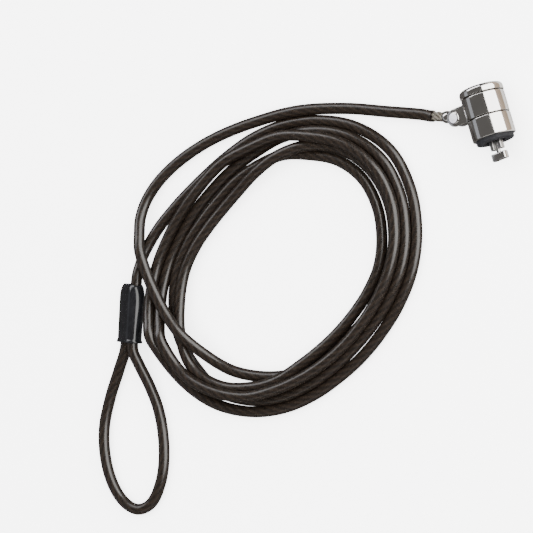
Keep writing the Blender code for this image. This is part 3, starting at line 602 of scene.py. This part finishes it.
BARREL_LENGTH = 8.15 * MM
BARREL_RADIUS = 8.5 * MM
NECK_RADIUS = 7.2 * MM
NECK_TOP = 18.95 * MM
RECESS_RADIUS = 7.5 * MM
RECESS_DEPTH = 1.0 * MM
RECESS_EDGE = 0.1 * MM
FLOOR_BORE = 4.05 * MM
FLOOR_TOP = 3.0 * MM
CORE_BORE = 5.6 * MM
FOOT_ROUNDING = 0.7 * MM
SEAM_ROUNDING = 0.35 * MM
COLLAR_FOOT = 8.55 * MM
COLLAR_TOP = 16.9 * MM
COLLAR_PLAY = 0.08 * MM
COLLAR_FOOT_ROUNDING = 0.2 * MM
CAP_FOOT = 17.3 * MM
CAP_TOP = 20.4 * MM
CAP_RADIUS = 8.65 * MM
CAP_ROUNDING = 1.6 * MM
CAP_FOOT_ROUNDING = 0.25 * MM
CAP_FIT = 0.05 * MM
CAP_THICKNESS = 1.4 * MM
KEYWAY_RADIUS = 4.65 * MM
KEYWAY_EDGE = 0.2 * MM
NOTCH_REACH = 0.9 * MM
NOTCH_DEPTH = 1.5 * MM
NOTCH_HALF_WIDTH = 0.6 * MM
RIVET_REACH = 13.5 * MM
RIVET_HEIGHT = 12.7 * MM
EAR_HALF_WIDTH = 3.45 * MM
EAR_THICKNESS = 1.0 * MM
EAR_ROOT = 7.8 * MM
EAR_EDGE = 0.18 * MM
FORK_GAP = 3.8 * MM

nickel = Finish("polished_nickel", Metallic=1.0)
haze = nickel.noise(160.0, 4.0)
nickel.wear(
    Base_Color=nickel.shades(haze, (0.3, (0.74, 0.72, 0.70)), (0.7, (0.80, 0.785, 0.765))),
    Roughness=haze * 0.06 + 0.07,
)
nickel.bump(nickel.noise(60.0, 2.0), 0.03 * MM, 0.25)

# The neck shows only in the narrow groove between barrel and collar. Its near-black colour is painted shade
# for the shadow in that groove, with random mottling.
neck_shade = Finish("neck_painted_shade", Metallic=0.8)
neck_shade_tone = neck_shade.noise(700.0, 3.0)
neck_shade.wear(
    Base_Color=neck_shade.shades(neck_shade_tone, (0.3, (0.035, 0.028, 0.024)), (0.7, (0.07, 0.06, 0.052))),
    Roughness=neck_shade_tone * 0.2 + 0.5,
)


def arc(centre, radius, start, end, count):
    """Points on an arc, the angles in degrees."""
    return [
        (centre[0] + radius * cos(radians(a)), centre[1] + radius * sin(radians(a)))
        for a in np.linspace(start, end, count + 1)
    ]


def turned(points, steps, hollow=True):
    """A solid of revolution round Z from a section of (radius, height) points. A hollow one's section
    closes on itself, and a full one's begins and ends on Z."""
    shape = bmesh.new()
    verts = [shape.verts.new((r, 0.0, z)) for r, z in points]
    pairs = list(zip(verts, verts[1:])) + ([(verts[-1], verts[0])] if hollow else [])
    section = [shape.edges.new(pair) for pair in pairs]
    bmesh.ops.spin(
        shape, geom=verts + section, cent=(0, 0, 0), axis=(0, 0, 1), dvec=(0, 0, 0), angle=2 * pi,
        steps=steps, use_merge=True, use_duplicate=False,
    )
    bmesh.ops.remove_doubles(shape, verts=shape.verts, dist=0.001 * MM)
    bmesh.ops.recalc_face_normals(shape, faces=shape.faces)
    return shape


def plate(outline, low, high, edge=0.0, segments=3):
    """A solid of one outline of (x, y) points between two heights, with its edges rounded."""
    shape = bmesh.new()
    face = shape.faces.new([shape.verts.new((x, y, low)) for x, y in outline])
    raised = bmesh.ops.extrude_face_region(shape, geom=[face])["geom"]
    tops = [v for v in raised if isinstance(v, bmesh.types.BMVert)]
    bmesh.ops.translate(shape, verts=tops, vec=(0.0, 0.0, high - low))
    bmesh.ops.recalc_face_normals(shape, faces=shape.faces)
    if edge:
        sharp = [e for e in shape.edges if e.calc_face_angle(0.0) > radians(40)]
        bmesh.ops.bevel(
            shape, geom=sharp, offset=edge, segments=segments, profile=0.5, affect="EDGES", material=-1,
            clamp_overlap=True,
        )
        bmesh.ops.recalc_face_normals(shape, faces=shape.faces)
    return shape


def rectangle(near, far, half_width):
    return [(near, -half_width), (far, -half_width), (far, half_width), (near, half_width)]


def joined(first, *others):
    """Several solids as one mesh."""
    for other in others:
        spare = bpy.data.meshes.new("joined")
        other.to_mesh(spare)
        other.free()
        first.from_mesh(spare)
        bpy.data.meshes.remove(spare)
    return first


def in_head(shape):
    return placed(shape, HEAD)


barrel = turned([
    (NECK_RADIUS, NECK_TOP), (NECK_RADIUS, BARREL_LENGTH), (BARREL_RADIUS - SEAM_ROUNDING, BARREL_LENGTH),
    *arc((BARREL_RADIUS - SEAM_ROUNDING, BARREL_LENGTH - SEAM_ROUNDING), SEAM_ROUNDING, 75, 0, 4),
    *arc((BARREL_RADIUS - FOOT_ROUNDING, FOOT_ROUNDING), FOOT_ROUNDING, 0, -90, 6),
    (RECESS_RADIUS + RECESS_EDGE, 0.0), (RECESS_RADIUS, RECESS_EDGE), (RECESS_RADIUS, RECESS_DEPTH),
    (FLOOR_BORE, RECESS_DEPTH), (FLOOR_BORE, FLOOR_TOP), (CORE_BORE, FLOOR_TOP), (CORE_BORE, NECK_TOP),
], 120)
# Faces on the neck and in the bore take the painted groove shade.
for face in barrel.faces:
    middle = face.calc_center_median()
    on_neck = hypot(middle.x, middle.y) < NECK_RADIUS + FOOT_ROUNDING and middle.z > BARREL_LENGTH / 2
    face.material_index = int(on_neck)
add_piece("barrel", in_head(barrel), [nickel, neck_shade], "housing", "lower_barrel")

collar_ring = turned([
    (NECK_RADIUS + COLLAR_PLAY, COLLAR_TOP), (BARREL_RADIUS - SEAM_ROUNDING, COLLAR_TOP),
    *arc((BARREL_RADIUS - SEAM_ROUNDING, COLLAR_TOP - SEAM_ROUNDING), SEAM_ROUNDING, 75, 0, 4),
    *arc(
        (BARREL_RADIUS - COLLAR_FOOT_ROUNDING, COLLAR_FOOT + COLLAR_FOOT_ROUNDING), COLLAR_FOOT_ROUNDING,
        0, -75, 3,
    ),
    (BARREL_RADIUS - COLLAR_FOOT_ROUNDING, COLLAR_FOOT), (NECK_RADIUS + COLLAR_PLAY, COLLAR_FOOT),
], 120)
# An ear's outline starts from the rivet: round at its outer end, and square where it enters the ring
ear_outline = [(-x, y) for x, y in arc((0.0, 0.0), EAR_HALF_WIDTH, -90, 90, 20)]
ear_outline += [(RIVET_REACH - EAR_ROOT, EAR_HALF_WIDTH), (RIVET_REACH - EAR_ROOT, -EAR_HALF_WIDTH)]
ears = []
for side in (-1, 1):
    middle = side * (FORK_GAP + EAR_THICKNESS) / 2
    ear_place = Matrix.Translation((-RIVET_REACH, middle, RIVET_HEIGHT)) @ Matrix.Rotation(pi / 2, 4, "X")
    ears.append(placed(plate(ear_outline, -EAR_THICKNESS / 2, EAR_THICKNESS / 2, EAR_EDGE), ear_place))
add_piece(
    "swivel_collar_polished", in_head(joined(collar_ring, *ears)), [nickel],
    "collar", "swivel_collar",
)

cap = turned([
    (KEYWAY_RADIUS + KEYWAY_EDGE, CAP_TOP),
    *arc((CAP_RADIUS - CAP_ROUNDING, CAP_TOP - CAP_ROUNDING), CAP_ROUNDING, 90, 0, 9),
    *arc((CAP_RADIUS - CAP_FOOT_ROUNDING, CAP_FOOT + CAP_FOOT_ROUNDING), CAP_FOOT_ROUNDING, 0, -75, 3),
    (NECK_RADIUS + CAP_FIT, CAP_FOOT), (NECK_RADIUS + CAP_FIT, CAP_TOP - CAP_THICKNESS),
    (KEYWAY_RADIUS, CAP_TOP - CAP_THICKNESS), (KEYWAY_RADIUS, CAP_TOP - KEYWAY_EDGE),
], 120)
cap_piece = add_piece("cap", in_head(cap), [nickel], "housing", "cap_ring")
notch_outline = rectangle(KEYWAY_RADIUS - MM, KEYWAY_RADIUS + NOTCH_REACH, NOTCH_HALF_WIDTH)
notch = make_object("key_notch", in_head(plate(notch_outline, CAP_TOP - NOTCH_DEPTH, CAP_TOP + MM)))
notch.hide_render = True
notch.parent = frame["bodies"]["housing"]
cut = cap_piece.modifiers.new("key_notch", "BOOLEAN")
cut.object = notch


# --- The rubber pad on the head's face ------------------------------------------------------------
# A moulded ring of black rubber, pressed into the barrel's foot, that keeps the lock off the laptop's case.

PAD_RADIUS = 7.45 * MM
PAD_HOLE = 4.0 * MM
PAD_FACE = -1.7 * MM
PAD_BACK = 0.95 * MM
PAD_ROUNDING = 0.55 * MM
PAD_SHOULDER = 0.6 * MM
PAD_FACE_RADIUS = PAD_RADIUS - 0.75 * MM
PAD_HOLE_EDGE = 0.2 * MM

rubber = Finish("black_rubber", Specular_IOR_Level=0.1)
bloom = rubber.noise(700.0, 5.0)
rubber.wear(
    Base_Color=rubber.shades(bloom, (0.3, (0.008, 0.008, 0.009)), (0.75, (0.016, 0.016, 0.018))),
    Roughness=bloom * 0.2 + 0.5,
)
rubber.bump(rubber.noise(2500.0, 3.0), 0.02 * MM, 0.5)
pad = turned([
    (PAD_HOLE, PAD_BACK), (PAD_RADIUS, PAD_BACK), (PAD_RADIUS, PAD_FACE + PAD_SHOULDER),
    *arc((PAD_RADIUS - PAD_ROUNDING, PAD_FACE + PAD_SHOULDER), PAD_ROUNDING, -15, -75, 4),
    (PAD_FACE_RADIUS, PAD_FACE), (PAD_HOLE + PAD_HOLE_EDGE, PAD_FACE), (PAD_HOLE, PAD_FACE + PAD_HOLE_EDGE),
], 96)
add_piece("pad", in_head(pad), [rubber], "housing", "face_pad")


# --- Guide posts, spindle and T-bar ---------------------------------------------------------------
# Two flat posts stand on a hub in the head's face and fill the laptop's slot. Between them turns the
# spindle, and the T-bar riveted on its end locks behind the slot's wall.

POST_NEAR = 0.93 * MM
POST_FAR = 2.63 * MM
POST_HALF_WIDTH = 1.25 * MM
POST_END = -4.8 * MM
POST_ROOT = 1.0 * MM
POST_EDGE = 0.35 * MM
HUB_FOOT = 0.6 * MM
FLANGE_RADIUS = 5.55 * MM
FLANGE_FOOT = 3.05 * MM
FLANGE_TOP = 4.35 * MM
SHAFT_BORE = 1.58 * MM
SHAFT_BORE_FOOT = 1.85 * MM
SHAFT_RADIUS = 1.5 * MM
SHAFT_FOOT = 1.9 * MM
SHAFT_TOP = 3.2 * MM
SPINDLE_RADIUS = 0.85 * MM
SPINDLE_TIP_RADIUS = 0.5 * MM
SPINDLE_TIP_EDGE = 0.1 * MM
SPINDLE_PROUD = 0.05 * MM
TANG_HALF_LENGTH = 1.2 * MM
TANG_HALF_THICKNESS = 0.4 * MM
TANG_FOOT = 2.9 * MM
TANG_TOP = 5.45 * MM
T_BAR_TOP = -6.0 * MM
T_BAR_FOOT = -8.9 * MM
T_BAR_HALF_LENGTH = 3.35 * MM
T_BAR_HALF_WIDTH = 1.45 * MM
T_BAR_EDGE = 0.36 * MM

steel = Finish("turned_steel", Metallic=1.0)
tool_marks = steel.noise(1400.0, 4.0)
steel.wear(
    Base_Color=steel.shades(tool_marks, (0.3, (0.50, 0.49, 0.48)), (0.7, (0.66, 0.65, 0.64))),
    Roughness=tool_marks * 0.2 + 0.2,
)
steel.bump(tool_marks, 0.01 * MM, 0.3)

hub = turned([
    (SHAFT_BORE, FLANGE_TOP), (FLANGE_RADIUS, FLANGE_TOP), (FLANGE_RADIUS, FLANGE_FOOT),
    (PAD_HOLE, FLANGE_FOOT), (PAD_HOLE, HUB_FOOT), (POST_NEAR, HUB_FOOT), (POST_NEAR, SHAFT_BORE_FOOT),
    (SHAFT_BORE, SHAFT_BORE_FOOT),
], 72)
posts = [
    plate(rectangle(side * POST_NEAR, side * POST_FAR, POST_HALF_WIDTH), POST_END, POST_ROOT, POST_EDGE)
    for side in (-1, 1)
]
add_piece("guide_posts", in_head(joined(hub, *posts)), [steel], "housing", "guide_block")

shaft = turned([
    (0.0, SHAFT_TOP), (SHAFT_RADIUS, SHAFT_TOP), (SHAFT_RADIUS, SHAFT_FOOT), (SPINDLE_RADIUS, SHAFT_FOOT),
    (SPINDLE_RADIUS, T_BAR_FOOT + SPINDLE_TIP_EDGE), (SPINDLE_TIP_RADIUS, T_BAR_FOOT - SPINDLE_PROUD),
    (0.0, T_BAR_FOOT - SPINDLE_PROUD),
], 48, hollow=False)
tang = plate(rectangle(-TANG_HALF_LENGTH, TANG_HALF_LENGTH, TANG_HALF_THICKNESS), TANG_FOOT, TANG_TOP)
add_piece("spindle_shaft", in_head(joined(shaft, tang)), [steel], "plug", "spindle")

half_angle = asin(T_BAR_HALF_WIDTH / T_BAR_HALF_LENGTH)
bar_outline = [
    (T_BAR_HALF_LENGTH * cos(facing + a), T_BAR_HALF_LENGTH * sin(facing + a))
    for facing in (0.0, pi) for a in np.linspace(-half_angle, half_angle, 9)
]
bar = plate(bar_outline, T_BAR_FOOT, T_BAR_TOP, T_BAR_EDGE, 4)
add_piece("t_bar_polished", in_head(bar), [nickel], "plug", "t_bar")


# --- The rivet and the cable's end fitting --------------------------------------------------------
# A flat-headed rivet pins the cable's eye between the collar's two ears. The die-cast eye swells into a
# crimp, and a short length of the bare galvanised rope shows before the vinyl sheath begins.

RIVET_PLAY = 0.05 * MM
EAR_FACE = FORK_GAP / 2 + EAR_THICKNESS + RIVET_PLAY
RIVET_HEAD_THICKNESS = 0.7 * MM
RIVET_TOP = EAR_FACE + RIVET_HEAD_THICKNESS
RIVET_HEAD_RADIUS = 2.5 * MM
RIVET_SHANK_RADIUS = 1.2 * MM
# The head's rounded edge: how far in from its side and down from its top, in mm
RIVET_EDGE = ((0.6, 0.0), (0.15, 0.3), (0.0, 0.5))
FACING_OUT = 0.95
EYE_HALF_THICKNESS = 1.8 * MM
EYE_RADIUS = 2.9 * MM
EYE_BORE = 1.28 * MM
EYE_BORE_EDGE = 0.15 * MM
EYE_EDGE = 0.3 * MM
STEM_START = 1.8 * MM
STEM_RADIUS = 1.7 * MM
CRIMP_END = 6.6 * MM
# The crimp's swell: its radius and the distance back from its end, in mm
CRIMP_SWELL = ((1.9, 0.0), (2.15, 0.15), (2.38, 0.7), (2.46, 1.5), (2.3, 2.3), (1.95, 2.9), (1.7, 3.4))
WIRE_START = 6.65 * MM
WIRE_END = 11.55 * MM
WIRE_POINTS = 40
STRAND_RADIUS = 0.64 * MM
STRAND_CIRCLE = 1.34 * MM
STRAND_COUNT = 6
STRAND_LAY = 15.0 * MM
STRAND_SIDES = 12

rounded = [(RIVET_HEAD_RADIUS - inward * MM, RIVET_TOP - down * MM) for inward, down in RIVET_EDGE]
upper = [(0.0, RIVET_TOP), *rounded, (RIVET_HEAD_RADIUS, EAR_FACE), (RIVET_SHANK_RADIUS, EAR_FACE)]
rivet = turned(upper + [(r, -z) for r, z in reversed(upper)], 72, hollow=False)
satin = Finish("satin_rivet", Metallic=0.35, Specular_IOR_Level=0.6)
satin_tone = satin.noise(1500.0, 4.0)
satin.wear(
    Base_Color=satin.shades(satin_tone, (0.3, (0.55, 0.54, 0.60)), (0.7, (0.72, 0.71, 0.78))),
    Roughness=satin_tone * 0.2 + 0.3,
)
for face in rivet.faces:
    face.material_index = int(abs(face.normal.z) > FACING_OUT)
add_piece("rivet_polished", placed(rivet, FORK), [nickel, satin], "collar", "rivet")

side_of_eye = [
    (EYE_BORE, EYE_HALF_THICKNESS - EYE_BORE_EDGE), (EYE_BORE + EYE_BORE_EDGE, EYE_HALF_THICKNESS),
    (EYE_RADIUS - EYE_EDGE, EYE_HALF_THICKNESS), (EYE_RADIUS, EYE_HALF_THICKNESS - EYE_EDGE),
]
eye_ring = turned(side_of_eye + [(r, -z) for r, z in reversed(side_of_eye)], 72)
crimp = turned([
    (0.0, CRIMP_END), *((r * MM, CRIMP_END - back * MM) for r, back in CRIMP_SWELL),
    (STEM_RADIUS, STEM_START), (0.0, STEM_START),
], 72, hollow=False)
end_fitting = joined(eye_ring, placed(crimp, Matrix.Rotation(pi / 2, 4, "Y")))
add_piece(
    "end_fitting_polished", placed(end_fitting, FORK), [nickel], "cable", "end_fitting",
)

galvanised = Finish("galvanised_wire", Metallic=1.0)
wires_and_gap_shade = rope_phase(galvanised, 6, 3.2, -1).sine() * 0.5 + 0.5
tarnish = galvanised.noise(800.0, 3.0)
# The base colour darkens in the grooves between the wires: painted shade, mixed with random tarnish
# mottling. The same wire pattern drives the relief.
galvanised.wear(
    Base_Color=galvanised.shades(
        tarnish * 0.6 + wires_and_gap_shade * 0.4, (0.3, (0.10, 0.08, 0.06)), (0.7, (0.70, 0.65, 0.56)),
    ),
    Roughness=tarnish * 0.2 + 0.24,
)
galvanised.bump(wires_and_gap_shade, 0.10 * MM, 0.9)
reach = np.linspace(WIRE_START, WIRE_END, WIRE_POINTS)
strands = [sweep([(x, 0.0, 0.0) for x in reach], STRAND_CIRCLE - STRAND_RADIUS, STRAND_SIDES)]
for number in range(STRAND_COUNT):
    spiral = [2 * pi * (number / STRAND_COUNT + (x - WIRE_START) / STRAND_LAY) for x in reach]
    path = [(x, STRAND_CIRCLE * cos(a), STRAND_CIRCLE * sin(a)) for x, a in zip(reach, spiral)]
    strands.append(sweep(path, STRAND_RADIUS, STRAND_SIDES))
add_piece(
    "rope_end", placed(joined(*strands), FORK), [galvanised],
    "cable", "bare_wire", crease=radians(70),
)


# --- The lock's inside ----------------------------------------------------------------------------
# The plug, the pin block and the sleeve round them, seven pins with their drivers and springs, and the
# cross pin that holds them in the barrel. Only the plug's face shows, down in the keyway.

brass = Finish("turned_brass", Metallic=1.0)
brass_tone = brass.noise(900.0, 4.0)
brass.wear(
    Base_Color=brass.shades(brass_tone, (0.3, (0.60, 0.43, 0.19)), (0.7, (0.74, 0.57, 0.28))),
    Roughness=brass_tone * 0.2 + 0.22,
)
spring_steel = Finish("spring_wire", Metallic=1.0)
spring_tone = spring_steel.noise(1200.0, 3.0)
spring_steel.wear(
    Base_Color=spring_steel.shades(spring_tone, (0.3, (0.48, 0.47, 0.45)), (0.7, (0.62, 0.61, 0.6))),
    Roughness=spring_tone * 0.2 + 0.25,
)
INNER_FINISHES = {
    "loop_ferrule": aluminium, "plug_rotor": steel, "lock_sleeve": steel, "cross_pin": steel,
    "pin_block": brass, "key_pin": brass, "driver_pin": steel, "pin_spring": spring_steel,
}
for name, node in frame["nodes"].items():
    for kind, finish in INNER_FINISHES.items():
        if name.startswith(kind):
            node.data.materials.clear()
            node.data.materials.append(finish.material)
